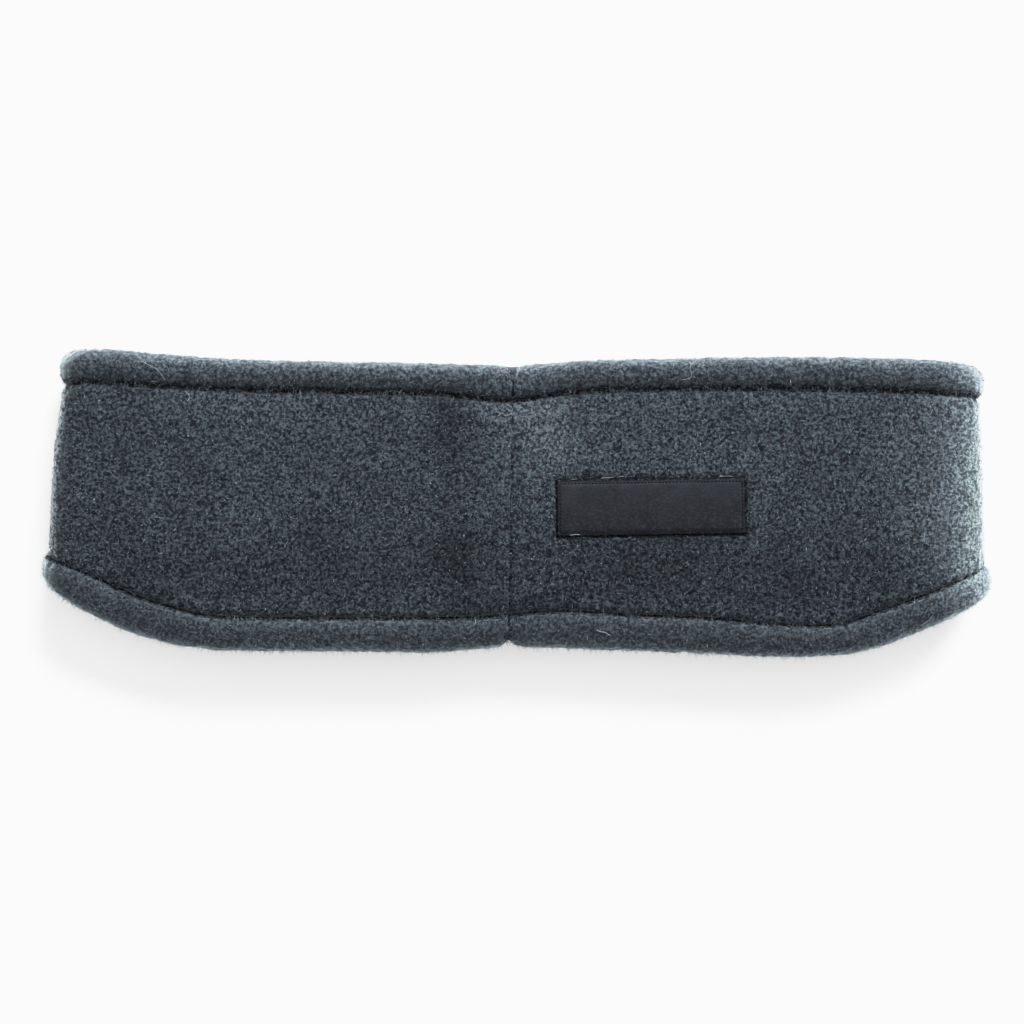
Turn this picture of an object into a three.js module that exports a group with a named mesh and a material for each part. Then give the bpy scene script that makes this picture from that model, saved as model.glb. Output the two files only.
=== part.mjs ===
// A contoured fleece headband, laid flat: a loop of fleece with a seam at the centre back, a turned hem round
// each edge and a woven label beside the seam. The back of the band lies on top and the narrower forehead side
// under it.
// Millimetres, +Z up. +X runs along the band to the right and +Y towards the top edge.

import * as THREE from "three";

// Driving sizes
const LAID_WIDTH = 270; // from fold to fold across the flattened loop
const BACK_HEIGHT = 88; // highest corner of the top edge to the lowest point of the bottom edge
const FRONT_HEIGHT = 57; // edge to edge at the forehead
const CLOTH = 3; // thickness of the fleece
const HOLLOW = 6.4; // free height between the two layers' hems
const FIT_GAP = 0.3; // between pieces that are sewn face to face
const HEM_DEPTH = 9.6; // stitch line to edge
const HEM_PUFF = 1.4; // how far a hem's roll stands proud of the fleece beside it
const HEM_RAW_EDGE = 1.6; // cut edge of the hem's inner ply, past the stitch line
const STITCH_GROOVE = 1.5; // how deep the hem's stitches pull the pile in
const SEAM_ALLOWANCE = 9.5; // each side of the centre back seam, opened flat inside
const SEAM_PLY = 2.4; // the allowance's thickness, pressed
const SEAM_LIFT = 1.5; // how far the allowance lifts the fleece that covers it
const SEAM_DIP = 1.3; // depth of the seam's own furrow
const SEAM_SPREAD = 3; // half width of that furrow
const SEAM_NOTCH = 1.8; // how far the seam draws each edge in
const SEAM_FROM_MIDDLE = 0.9; // the seam lies left of the middle
const CROWN = 2; // how far the back stands up midway between its hems
const DROOP = 1.4; // how far the back's lower edge hangs where no forehead side is under it
const LABEL_LENGTH = 53.9;
const LABEL_WIDTH = 16.2;
const LABEL_THICKNESS = 0.9;
const LABEL_FROM_SEAM = 12.6; // seam to the label's near end
const LABEL_BELOW_MIDDLE = 1.2; // of the laid band's height
const LABEL_TILT = THREE.MathUtils.degToRad(0.7);
const LABEL_STITCH_INSET = 1.3; // label's edge to its line of stitches
const LABEL_STITCH_DIP = 0.25; // how far those stitches press the label in
const STATION_STEP = 6.5; // along the back
const FRONT_STEP = 10.5; // along the forehead side
const FOLD_STEPS = 8; // round each fold

// What the driving sizes give
const HALF_WIDTH = LAID_WIDTH / 2;
const HEM_THICKNESS = 2 * CLOTH + FIT_GAP;
const HEM_INSIDE = HEM_THICKNESS - HEM_PUFF; // depth of a hem's inner face under the fleece's outer face
const REST_LEVEL = HEM_PUFF; // height of the forehead side's outer face, as its hems rest on the surface
const FOLD_RADIUS = HEM_INSIDE + HOLLOW / 2; // of the fleece's outer face
const FOLD_LEVEL = REST_LEVEL + FOLD_RADIUS;

// The laid loop's side folds. up is a height above the middle as a share of BACK_HEIGHT. left and right are
// the fleece's reach at that height, as shares of HALF_WIDTH.
const SIDES = [
  { up: -0.5, left: 0.992, right: 0.993 },
  { up: -0.24, left: 0.992, right: 0.992 },
  { up: -0.12, left: 0.986, right: 0.987 },
  { up: 0.17, left: 0.977, right: 0.982 },
  { up: 0.43, left: 0.954, right: 0.978 },
  { up: 0.5, left: 0.952, right: 0.978 },
];

// The top edge. at is the way round the loop: 0 at the seam, 1 at the right fold, -1 at the left fold and 2 or
// -2 at the middle of the forehead. drop is how far the edge lies under its highest corner, as a share of
// BACK_HEIGHT, and hem is the hem's width as a share of HEM_DEPTH.
const TOP_EDGE = [
  { at: -2, drop: 0.052, hem: 1 },
  { at: -1.5, drop: 0.06, hem: 1 },
  { at: -1.15, drop: 0.034, hem: 1 },
  { at: -1, drop: 0.01, hem: 0.98 },
  { at: -0.89, drop: 0, hem: 1.03 },
  { at: -0.77, drop: 0.016, hem: 0.98 },
  { at: -0.6, drop: 0.033, hem: 0.94 },
  { at: -0.43, drop: 0.041, hem: 0.92 },
  { at: -0.18, drop: 0.048, hem: 0.93 },
  { at: -0.06, drop: 0.053, hem: 1.04 },
  { at: 0, drop: 0.055, hem: 1.06 },
  { at: 0.07, drop: 0.048, hem: 1 },
  { at: 0.15, drop: 0.038, hem: 0.95 },
  { at: 0.3, drop: 0.034, hem: 0.93 },
  { at: 0.46, drop: 0.028, hem: 0.97 },
  { at: 0.65, drop: 0.027, hem: 1 },
  { at: 0.85, drop: 0.035, hem: 1 },
  { at: 0.93, drop: 0.045, hem: 0.98 },
  { at: 1, drop: 0.062, hem: 0.94 },
  { at: 1.15, drop: 0.066, hem: 1 },
  { at: 1.5, drop: 0.06, hem: 1 },
  { at: 2, drop: 0.052, hem: 1 },
];

// The bottom edge of the back and of both folds, in the same way. rise is how far the edge lies above its
// lowest point, as a share of BACK_HEIGHT.
const BOTTOM_EDGE = [
  { at: -1, rise: 0.25, hem: 0.9 },
  { at: -0.93, rise: 0.192, hem: 1.02 },
  { at: -0.87, rise: 0.14, hem: 1.16 },
  { at: -0.79, rise: 0.082, hem: 1.17 },
  { at: -0.71, rise: 0.044, hem: 1.13 },
  { at: -0.63, rise: 0.026, hem: 1.02 },
  { at: -0.54, rise: 0.0195, hem: 1 },
  { at: -0.3, rise: 0.018, hem: 1 },
  { at: -0.15, rise: 0.016, hem: 1.03 },
  { at: -0.06, rise: 0.026, hem: 0.96 },
  { at: 0, rise: 0.033, hem: 0.97 },
  { at: 0.06, rise: 0.03, hem: 1.08 },
  { at: 0.11, rise: 0.028, hem: 1.13 },
  { at: 0.24, rise: 0.021, hem: 1.08 },
  { at: 0.4, rise: 0.01, hem: 1.08 },
  { at: 0.55, rise: 0, hem: 0.98 },
  { at: 0.63, rise: 0.003, hem: 0.92 },
  { at: 0.69, rise: 0.01, hem: 0.98 },
  { at: 0.74, rise: 0.028, hem: 1.08 },
  { at: 0.81, rise: 0.072, hem: 1.04 },
  { at: 0.87, rise: 0.114, hem: 1 },
  { at: 0.93, rise: 0.158, hem: 0.96 },
  { at: 1, rise: 0.2, hem: 0.94 },
];

// The bottom edge goes on round each fold up to the forehead's. climb is the share of that climb at at.
const FRONT_CLIMB = [
  { at: 1, climb: 0 },
  { at: 1.1, climb: 0.46 },
  { at: 1.2, climb: 0.8 },
  { at: 1.32, climb: 0.97 },
  { at: 1.5, climb: 1 },
  { at: 2, climb: 1 },
];

// Soft waves along the laid back. lift is a share of HEM_THICKNESS.
const WAVES = [
  { at: -0.88, lift: 0 },
  { at: -0.64, lift: 0.19 },
  { at: -0.45, lift: 0.06 },
  { at: -0.24, lift: 0.14 },
  { at: -0.08, lift: 0.02 },
  { at: 0.02, lift: 0 },
  { at: 0.12, lift: -0.04 },
  { at: 0.3, lift: 0.05 },
  { at: 0.56, lift: 0.16 },
  { at: 0.88, lift: 0 },
];

// A hem's roll from its stitch line round the edge to its cut edge inside. out is a share of the hem's width
// from the stitch line, and in a share of its thickness from its outer face.
const HEM_ROLL = [
  { out: 0.09, in: 0.15 },
  { out: 0.26, in: 0 },
  { out: 0.54, in: 0 },
  { out: 0.77, in: 0.09 },
  { out: 0.93, in: 0.27 },
  { out: 1, in: 0.5 },
  { out: 0.95, in: 0.75 },
  { out: 0.82, in: 0.92 },
  { out: 0.6, in: 1 },
  { out: 0.3, in: 1 },
  { out: 0, in: 0.95 },
];
const HEM_SLIT_END = 0.72; // how far the two plies stay apart, as a share of the hem's width

// The fleece's outer face between the hems: how far from a stitch line, as a share of HEM_DEPTH, and how much
// of the groove is left there.
const GROOVE_FADE = [
  { away: 0, left: 1 },
  { away: 0.1, left: 0.5 },
  { away: 0.27, left: 0.12 },
  { away: 0.56, left: 0 },
];
const FACE_ROWS = [0.25, 0.5, 0.75]; // shares of the way between the two grooves
const INSIDE_ROWS = [0.3, 0.5, 0.7];
const SEAM_RAMP = [0.22, 0.6]; // stations in the seam's furrow, as shares of SEAM_SPREAD

const clamp = THREE.MathUtils.clamp;
const mix = THREE.MathUtils.lerp;

// A smooth curve through a table's rows, read from the column named from to the column named to.
function curveOf(rows, from, to) {
  const slope = (i) => {
    const a = rows[Math.max(i - 1, 0)];
    const b = rows[Math.min(i + 1, rows.length - 1)];
    return (b[to] - a[to]) / (b[from] - a[from]);
  };
  return (value) => {
    const last = rows.length - 2;
    let i = 0;
    while (i < last && value > rows[i + 1][from]) i++;
    const span = rows[i + 1][from] - rows[i][from];
    const t = clamp((value - rows[i][from]) / span, 0, 1);
    const t2 = t * t;
    const t3 = t2 * t;
    return (
      rows[i][to] * (2 * t3 - 3 * t2 + 1) +
      slope(i) * span * (t3 - 2 * t2 + t) +
      rows[i + 1][to] * (3 * t2 - 2 * t3) +
      slope(i + 1) * span * (t3 - t2)
    );
  };
}

const leftReach = curveOf(SIDES, "up", "left");
const rightReach = curveOf(SIDES, "up", "right");
const topDrop = curveOf(TOP_EDGE, "at", "drop");
const topHem = curveOf(TOP_EDGE, "at", "hem");
const bottomRise = curveOf(BOTTOM_EDGE, "at", "rise");
const bottomHem = curveOf(BOTTOM_EDGE, "at", "hem");
const frontClimb = curveOf(FRONT_CLIMB, "at", "climb");
const waves = curveOf(WAVES, "at", "lift");

// The two straight runs of the loop, from the seam to where each fold starts
const seamX = -SEAM_FROM_MIDDLE;
const midReach = (side) => (side < 0 ? leftReach(0) : rightReach(0));
const runLength = (side) => HALF_WIDTH * midReach(side) - side * seamX - FOLD_RADIUS;
const quarterLength = (side) => runLength(side) + (FOLD_RADIUS * Math.PI) / 2;
const sideOf = (at) => (at < 0 ? -1 : 1);
const fromSeam = (at) => Math.abs(at) * quarterLength(sideOf(at));

// Where the edges and the stitch lines lie at a place round the loop
function seamPull(at) {
  return clamp(1 - fromSeam(at) / SEAM_SPREAD, 0, 1) ** 2;
}

function topEdge(at) {
  return BACK_HEIGHT * (0.5 - topDrop(at)) - SEAM_NOTCH * seamPull(at);
}

function topLine(at) {
  return BACK_HEIGHT * (0.5 - topDrop(at)) - HEM_DEPTH * topHem(at);
}

function plainBottomEdge(at) {
  const around = Math.abs(at);
  const back = BACK_HEIGHT * (bottomRise(clamp(at, -1, 1)) - 0.5);
  const front = BACK_HEIGHT * (0.5 - topDrop(2)) - FRONT_HEIGHT;
  return around <= 1 ? back : mix(back, front, frontClimb(around));
}

function bottomEdge(at) {
  return plainBottomEdge(at) + SEAM_NOTCH * seamPull(at);
}

function bottomLine(at) {
  const share = mix(bottomHem(clamp(at, -1, 1)), 1, clamp((Math.abs(at) - 1) * 3, 0, 1));
  return plainBottomEdge(at) + HEM_DEPTH * share;
}

// How far the back's outer face stands above the folds' level, at a place round the loop and a height y
function liftOf(at, y) {
  const run = runLength(sideOf(at));
  const nearFold = clamp((run - fromSeam(at)) / (FOLD_RADIUS * 3), 0, 1);
  const window = nearFold * nearFold * (3 - 2 * nearFold);
  const between = clamp((y - bottomLine(at)) / (topLine(at) - bottomLine(at)), 0, 1);
  const arch = 4 * between * (1 - between);
  const overSeam = clamp((SEAM_ALLOWANCE + SEAM_SPREAD - fromSeam(at)) / SEAM_SPREAD, 0, 1);
  const frontLine = bottomLine(2);
  const below = clamp((frontLine - y) / (frontLine - bottomLine(0)), 0, 1);
  const hang = below * below * (3 - 2 * below);
  return (
    window *
    (waves(at) * HEM_THICKNESS + CROWN * arch + SEAM_LIFT * overSeam * Math.min(1, 3 * arch) - DROOP * hang)
  );
}

// The point at a place round the loop, a height y and a depth under the fleece's outer face
function place(at, y, depth) {
  const side = sideOf(at);
  const reach = (side < 0 ? leftReach : rightReach)(y / BACK_HEIGHT);
  const foldX = side * (HALF_WIDTH * reach - FOLD_RADIUS);
  const run = runLength(side);
  const along = fromSeam(at);
  const turned = (along - run) / FOLD_RADIUS;
  if (turned <= 0) {
    const level = FOLD_LEVEL + FOLD_RADIUS + liftOf(at, y);
    return new THREE.Vector3(mix(seamX, foldX, along / run), y, level - depth);
  }
  if (turned <= Math.PI) {
    const radius = FOLD_RADIUS - depth;
    return new THREE.Vector3(
      foldX + side * radius * Math.sin(turned),
      y,
      FOLD_LEVEL + radius * Math.cos(turned),
    );
  }
  const past = (along - run - Math.PI * FOLD_RADIUS) / run;
  return new THREE.Vector3(mix(foldX, seamX, past), y, REST_LEVEL + depth);
}

// The places round the loop where it is cut into sections, from the seam by one fold to the middle of the
// forehead
function stationsOf(side) {
  const run = runLength(side);
  const quarter = quarterLength(side);
  const nearSeam = SEAM_RAMP.map((share) => share * SEAM_SPREAD);
  const allowanceEnd = [SEAM_ALLOWANCE - FIT_GAP, SEAM_ALLOWANCE + FIT_GAP];
  const backFrom = SEAM_ALLOWANCE + SEAM_SPREAD;
  const backSteps = Math.ceil((run - backFrom) / STATION_STEP);
  const back = Array.from({ length: backSteps }, (_, i) => mix(backFrom, run, i / backSteps));
  const fold = Array.from({ length: FOLD_STEPS }, (_, i) => run + (FOLD_RADIUS * Math.PI * i) / FOLD_STEPS);
  const frontFrom = run + FOLD_RADIUS * Math.PI;
  const frontSteps = Math.ceil(run / FRONT_STEP);
  const front = Array.from({ length: frontSteps }, (_, i) => mix(frontFrom, 2 * quarter, i / frontSteps));
  const lengths = [...nearSeam, ...allowanceEnd, ...back, ...fold, ...front];
  return lengths.map((length) => (side * length) / quarter);
}

const STATIONS = [0, ...stationsOf(1), 2, ...stationsOf(-1).reverse()];

// Closed sections at a place round the loop, as rows of a height y and a depth
function seamDip(at) {
  return SEAM_DIP * seamPull(at);
}

function hemSection(at, line, edge) {
  const height = (out) => mix(line, edge, out);
  const start = height(FIT_GAP / 2 / Math.abs(edge - line));
  const rawEdge = line - Math.sign(edge - line) * HEM_RAW_EDGE;
  const dip = seamDip(at);
  const roll = HEM_ROLL.map((row) => ({
    y: height(row.out),
    depth: row.in * HEM_THICKNESS - HEM_PUFF + dip * (1 - row.in),
  }));
  return [
    { y: start, depth: STITCH_GROOVE + dip / 2 },
    ...roll,
    { y: rawEdge, depth: HEM_INSIDE * 0.92 },
    { y: rawEdge, depth: CLOTH + FIT_GAP },
    { y: start, depth: CLOTH + FIT_GAP },
    { y: height(HEM_SLIT_END), depth: HEM_THICKNESS / 2 - HEM_PUFF + FIT_GAP / 2 },
    { y: start, depth: CLOTH },
  ];
}

function bandSection(at) {
  const low = bottomLine(at) + FIT_GAP / 2;
  const high = topLine(at) - FIT_GAP / 2;
  const fadeEnd = HEM_DEPTH * GROOVE_FADE[GROOVE_FADE.length - 1].away;
  const dip = seamDip(at);
  const grooves = (from, way) =>
    GROOVE_FADE.map((row) => ({
      y: from + way * HEM_DEPTH * row.away,
      depth: STITCH_GROOVE * row.left + dip * (1 - row.left / 2),
    }));
  const face = FACE_ROWS.map((share) => ({ y: mix(low + fadeEnd, high - fadeEnd, share), depth: dip }));
  const outer = [...grooves(low, 1), ...face, ...grooves(high, -1).reverse()];
  const ply = fromSeam(at) < SEAM_ALLOWANCE ? SEAM_PLY - dip / 2 : 0;
  const clear = HEM_RAW_EDGE + 2 * FIT_GAP;
  const inner = [
    { y: high, depth: CLOTH },
    { y: high - clear, depth: CLOTH },
    { y: high - clear - FIT_GAP, depth: CLOTH + ply },
    ...INSIDE_ROWS.map((share) => ({ y: mix(high, low, share), depth: CLOTH + ply })),
    { y: low + clear + FIT_GAP, depth: CLOTH + ply },
    { y: low + clear, depth: CLOTH },
    { y: low, depth: CLOTH },
  ];
  return [...outer, ...inner];
}

// A solid from its points and triangles, with its faces pointing out
function solidOf(points, triangles) {
  let volume = 0;
  for (let i = 0; i < triangles.length; i += 3) {
    const [a, b, c] = [0, 1, 2].map((k) => points[triangles[i + k]]);
    volume += a.dot(new THREE.Vector3().crossVectors(b, c));
  }
  const facing = volume < 0 ? triangles.slice().reverse() : triangles;
  const geometry = new THREE.BufferGeometry().setFromPoints(points);
  geometry.setIndex(facing);
  geometry.computeVertexNormals();
  return geometry;
}

// A ring of cloth round the loop, with the section that sectionAt gives at each station
function loopRing(sectionAt) {
  const sections = STATIONS.map(sectionAt);
  const count = sections[0].length;
  const points = sections.flatMap((section, i) => section.map((row) => place(STATIONS[i], row.y, row.depth)));
  const triangles = [];
  for (let i = 0; i < sections.length; i++) {
    for (let j = 0; j < count; j++) {
      const a = i * count + j;
      const b = i * count + ((j + 1) % count);
      const next = i + 1 < sections.length ? count : -i * count;
      triangles.push(b, a, a + next, b, a + next, b + next);
    }
  }
  return solidOf(points, triangles);
}

// The label follows the back's outer face. Its rows and columns crowd at its border, where its stitches dip
// it.
function labelGrid(length, steps) {
  const border = [0, LABEL_STITCH_INSET * 0.3, LABEL_STITCH_INSET, LABEL_STITCH_INSET * 1.7];
  const start = border[border.length - 1];
  const inside = Array.from({ length: steps - 1 }, (_, i) => mix(start, length - start, (i + 1) / steps));
  return [...border, ...inside, ...border.map((from) => length - from).reverse()];
}

function labelSolid() {
  const columns = labelGrid(LABEL_LENGTH, 7);
  const rows = labelGrid(LABEL_WIDTH, 2);
  const middle = new THREE.Vector2(seamX + LABEL_FROM_SEAM + LABEL_LENGTH / 2, -LABEL_BELOW_MIDDLE);
  const run = runLength(1);
  const point = (i, j, raised) => {
    const toEnd = Math.min(columns[i], LABEL_LENGTH - columns[i]);
    const toSide = Math.min(rows[j], LABEL_WIDTH - rows[j]);
    const inset = Math.min(toEnd, toSide);
    const corner = toEnd + toSide === 0 ? LABEL_STITCH_INSET * 0.25 : 0;
    const off = new THREE.Vector2(columns[i] - LABEL_LENGTH / 2, rows[j] - LABEL_WIDTH / 2);
    off.sub(new THREE.Vector2(Math.sign(off.x) * corner, Math.sign(off.y) * corner));
    const at = middle.clone().add(off.rotateAround(new THREE.Vector2(), LABEL_TILT));
    const foldX = HALF_WIDTH * rightReach(at.y / BACK_HEIGHT) - FOLD_RADIUS;
    const round = (((at.x - seamX) / (foldX - seamX)) * run) / quarterLength(1);
    const dip = inset === LABEL_STITCH_INSET ? LABEL_STITCH_DIP : 0;
    const rim = inset === 0 ? LABEL_THICKNESS * 0.4 : 0;
    return place(round, at.y, raised ? dip + rim - FIT_GAP - LABEL_THICKNESS : -FIT_GAP);
  };
  const wide = columns.length;
  const high = rows.length;
  const points = [];
  [true, false].forEach((raised) => {
    for (let j = 0; j < high; j++) for (let i = 0; i < wide; i++) points.push(point(i, j, raised));
  });
  const under = wide * high;
  const triangles = [];
  for (let j = 0; j + 1 < high; j++) {
    for (let i = 0; i + 1 < wide; i++) {
      const a = j * wide + i;
      triangles.push(a, a + 1, a + wide + 1, a, a + wide + 1, a + wide);
      triangles.push(under + a, under + a + wide + 1, under + a + 1);
      triangles.push(under + a, under + a + wide, under + a + wide + 1);
    }
  }
  const rim = [];
  for (let i = 0; i < wide - 1; i++) rim.push(i);
  for (let j = 0; j < high - 1; j++) rim.push(j * wide + wide - 1);
  for (let i = wide - 1; i > 0; i--) rim.push((high - 1) * wide + i);
  for (let j = high - 1; j > 0; j--) rim.push(j * wide);
  rim.forEach((a, i) => {
    const b = rim[(i + 1) % rim.length];
    triangles.push(a, under + b, b, a, under + a, under + b);
  });
  return solidOf(points, triangles);
}

const fleece = new THREE.MeshStandardMaterial({ color: "#3e444b", roughness: 0.95, metalness: 0 });
const labelWeave = new THREE.MeshStandardMaterial({ color: "#26272b", roughness: 0.55, metalness: 0 });

function piece(name, geometry, material) {
  const mesh = new THREE.Mesh(geometry, material);
  mesh.name = name;
  return mesh;
}

const headband = new THREE.Group();
headband.add(
  piece("fleece_band", loopRing(bandSection), fleece),
  piece("top_hem", loopRing((at) => hemSection(at, topLine(at), topEdge(at))), fleece),
  piece("bottom_hem", loopRing((at) => hemSection(at, bottomLine(at), bottomEdge(at))), fleece),
  piece("woven_label", labelSolid(), labelWeave),
);

// The origin is on the surface that the band lies on, under the middle of its outline.
const outline = new THREE.Box3().setFromObject(headband);
const outlineMiddle = outline.getCenter(new THREE.Vector3());
headband.position.set(-outlineMiddle.x, -outlineMiddle.y, -outline.min.z);

export default headband;
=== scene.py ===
# A contoured fleece headband laid flat on a white table: a seamed loop of dark slate fleece with a stitched,
# rolled hem round each edge and a bare satin label beside the centre back seam. It is in metres, in the
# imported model's own frame.

import bpy
import math
import numpy as np
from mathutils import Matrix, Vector, noise
from mathutils.bvhtree import BVHTree


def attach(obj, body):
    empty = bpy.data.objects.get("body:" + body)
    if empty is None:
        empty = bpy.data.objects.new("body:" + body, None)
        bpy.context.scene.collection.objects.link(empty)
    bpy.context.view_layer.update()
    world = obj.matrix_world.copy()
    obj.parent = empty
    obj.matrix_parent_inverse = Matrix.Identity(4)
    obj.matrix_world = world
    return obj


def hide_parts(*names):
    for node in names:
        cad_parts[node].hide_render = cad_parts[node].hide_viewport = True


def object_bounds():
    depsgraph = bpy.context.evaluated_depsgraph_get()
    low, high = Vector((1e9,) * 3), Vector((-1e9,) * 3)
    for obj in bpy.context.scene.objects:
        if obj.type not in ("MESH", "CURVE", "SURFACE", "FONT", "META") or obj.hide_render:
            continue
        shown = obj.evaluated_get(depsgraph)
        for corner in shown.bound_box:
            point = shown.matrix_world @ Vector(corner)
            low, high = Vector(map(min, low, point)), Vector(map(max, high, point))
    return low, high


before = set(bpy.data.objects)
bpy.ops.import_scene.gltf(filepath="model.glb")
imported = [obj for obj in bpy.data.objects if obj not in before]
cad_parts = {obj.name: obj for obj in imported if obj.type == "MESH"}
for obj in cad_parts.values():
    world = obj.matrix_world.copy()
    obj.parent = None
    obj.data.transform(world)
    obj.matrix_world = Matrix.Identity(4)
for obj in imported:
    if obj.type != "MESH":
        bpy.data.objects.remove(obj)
cad_low, cad_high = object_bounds()

MM = 0.001

# The laid loop, with sizes near those of its solids
LAID_WIDTH = cad_high.x - cad_low.x
BACK_HEIGHT = cad_high.y - cad_low.y
FRONT_HEIGHT = 57 * MM
CLOTH = 3 * MM
HOLLOW = 6.4 * MM
FIT_GAP = 0.3 * MM
HEM_DEPTH = 9.6 * MM
HEM_PUFF = 1.4 * MM
HEM_RAW_EDGE = 1.6 * MM
STITCH_GROOVE = 1.7 * MM
SEAM_ALLOWANCE = 9.5 * MM
SEAM_PLY = 2.4 * MM
SEAM_LIFT = 1.5 * MM
SEAM_SLOPE = 11 * MM
SEAM_DIP = 0.4 * MM
SEAM_SPREAD = 2.4 * MM
SEAM_CREASE = 0.3 * MM
SEAM_NOTCH = 2 * MM
SEAM_FROM_MIDDLE = 0.9 * MM
SEAM_LEAN = 0.017
SEAM_LINE_SPREAD = 0.35 * MM
CROWN = 2 * MM
DROOP = 1.4 * MM
LABEL_LENGTH = 53.9 * MM
LABEL_WIDTH = 16.2 * MM
LABEL_THICKNESS = 0.9 * MM
LABEL_FROM_SEAM = 12.35 * MM
LABEL_BELOW_MIDDLE = 1.2 * MM
LABEL_TILT = math.radians(0.9)
LABEL_STITCH_INSET = 1.1 * MM

HALF_WIDTH = LAID_WIDTH / 2
HEM_THICKNESS = 2 * CLOTH + FIT_GAP
HEM_INSIDE = HEM_THICKNESS - HEM_PUFF
FOLD_RADIUS = HEM_INSIDE + HOLLOW / 2
FOLD_LEVEL = HEM_PUFF + FOLD_RADIUS
SEAM_X = -SEAM_FROM_MIDDLE

# Height above the middle as a share of the back's height, and the left and right folds' reach as shares of
# the half width
SIDES = (
    (-0.5, 0.994, 0.996), (-0.24, 0.994, 0.996), (-0.12, 0.989, 0.993),
    (0.17, 0.979, 0.988), (0.43, 0.955, 0.979), (0.5, 0.953, 0.979),
)
# Way round the loop (0 at the seam, 1 and -1 at the folds, 2 and -2 at the middle of the forehead), the top
# edge's drop as a share of the back's height, and the hem's width as a share of its depth
TOP_EDGE = (
    (-2, 0.052, 1), (-1.5, 0.06, 1), (-1.15, 0.034, 1), (-1, 0.01, 0.98), (-0.89, 0, 1.03),
    (-0.77, 0.016, 0.98), (-0.6, 0.033, 0.94), (-0.43, 0.041, 0.92), (-0.18, 0.048, 0.93),
    (-0.06, 0.053, 1.04), (0, 0.055, 1.06), (0.07, 0.048, 1), (0.15, 0.038, 0.95), (0.3, 0.034, 0.93),
    (0.46, 0.028, 0.97), (0.65, 0.027, 1), (0.85, 0.035, 1), (0.93, 0.045, 0.98), (1, 0.062, 0.94),
    (1.15, 0.066, 1), (1.5, 0.06, 1), (2, 0.052, 1),
)
# The same for the bottom edge's rise, from one fold to the other
BOTTOM_EDGE = (
    (-1, 0.25, 0.9), (-0.93, 0.192, 1.02), (-0.87, 0.14, 1.16), (-0.79, 0.082, 1.17), (-0.71, 0.044, 1.13),
    (-0.63, 0.026, 1.02), (-0.54, 0.0195, 1), (-0.3, 0.018, 1), (-0.15, 0.016, 1.03), (-0.06, 0.026, 0.96),
    (0, 0.033, 0.97), (0.06, 0.03, 1.08), (0.11, 0.028, 1.13), (0.24, 0.021, 1.08), (0.4, 0.01, 1.08),
    (0.55, 0, 0.98), (0.63, 0.003, 0.92), (0.69, 0.01, 0.98), (0.74, 0.028, 1.08), (0.81, 0.072, 1.04),
    (0.87, 0.114, 1), (0.93, 0.158, 0.96), (1, 0.2, 0.94),
)
# Way round the loop, and the bottom edge's climb from the folds to the forehead
FRONT_CLIMB = ((1, 0), (1.1, 0.46), (1.2, 0.8), (1.32, 0.97), (1.5, 1), (2, 1))
# Way round the loop, and the back's soft waves as shares of a hem's thickness
WAVES = (
    (-0.88, 0), (-0.64, 0.19), (-0.45, 0.06), (-0.24, 0.14), (-0.08, 0.02), (0.02, 0), (0.12, -0.04),
    (0.3, 0.05), (0.56, 0.16), (0.88, 0),
)
# A hem's roll from the stitch line round the edge to the inner ply: a step along it, how far out as a share
# of the hem's width, and how far in as a share of its thickness
HEM_ROLL = (
    (0, 0.01, 0.56), (1, 0.045, 0.36), (2, 0.125, 0.2), (3, 0.25, 0.08), (4, 0.42, 0.01), (5, 0.6, 0),
    (6, 0.78, 0.07), (7, 0.92, 0.24), (8, 1, 0.5), (9, 0.95, 0.75), (10, 0.82, 0.92), (11, 0.6, 1),
    (12, 0.3, 1), (13, 0, 0.95),
)


def curve_of(rows, column):
    """A smooth curve through a table's rows, from its first column to another."""
    table = np.array(rows, float)
    xs, ys = table[:, 0], table[:, column]
    slopes = np.gradient(ys, xs, edge_order=1)
    slopes[1:-1] = (ys[2:] - ys[:-2]) / (xs[2:] - xs[:-2])

    def read(value):
        i = np.clip(np.searchsorted(xs, value, side="right") - 1, 0, len(xs) - 2)
        span = xs[i + 1] - xs[i]
        t = np.clip((value - xs[i]) / span, 0, 1)
        return (
            ys[i] * (2 * t**3 - 3 * t**2 + 1) + slopes[i] * span * (t**3 - 2 * t**2 + t)
            + ys[i + 1] * (3 * t**2 - 2 * t**3) + slopes[i + 1] * span * (t**3 - t**2)
        )

    return read


left_reach, right_reach = curve_of(SIDES, 1), curve_of(SIDES, 2)
top_drop, top_width = curve_of(TOP_EDGE, 1), curve_of(TOP_EDGE, 2)
bottom_rise, bottom_width = curve_of(BOTTOM_EDGE, 1), curve_of(BOTTOM_EDGE, 2)
front_climb = curve_of(FRONT_CLIMB, 1)
waves = curve_of(WAVES, 1)
roll_out, roll_in = curve_of(HEM_ROLL, 1), curve_of(HEM_ROLL, 2)


def smooth(t):
    """An eased step from 0 to 1."""
    t = np.clip(t, 0, 1)
    return t * t * (3 - 2 * t)


def mix(a, b, t):
    return a + (b - a) * t


def run_length(at):
    """From the seam to where the fold on that side starts."""
    left = HALF_WIDTH * left_reach(0.0) + SEAM_X - FOLD_RADIUS
    right = HALF_WIDTH * right_reach(0.0) - SEAM_X - FOLD_RADIUS
    return np.where(at < 0, left, right)


def quarter_length(at):
    """From the seam to the middle of the fold."""
    return run_length(at) + FOLD_RADIUS * math.pi / 2


def from_seam(at):
    return np.abs(at) * quarter_length(at)


def seam_pull(at):
    return np.clip(1 - from_seam(at) / SEAM_SPREAD, 0, 1) ** 2


def seam_x(y):
    """Where the back's seam runs, a little off square."""
    return SEAM_X + SEAM_LEAN * (y - BACK_HEIGHT / 3)


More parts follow.
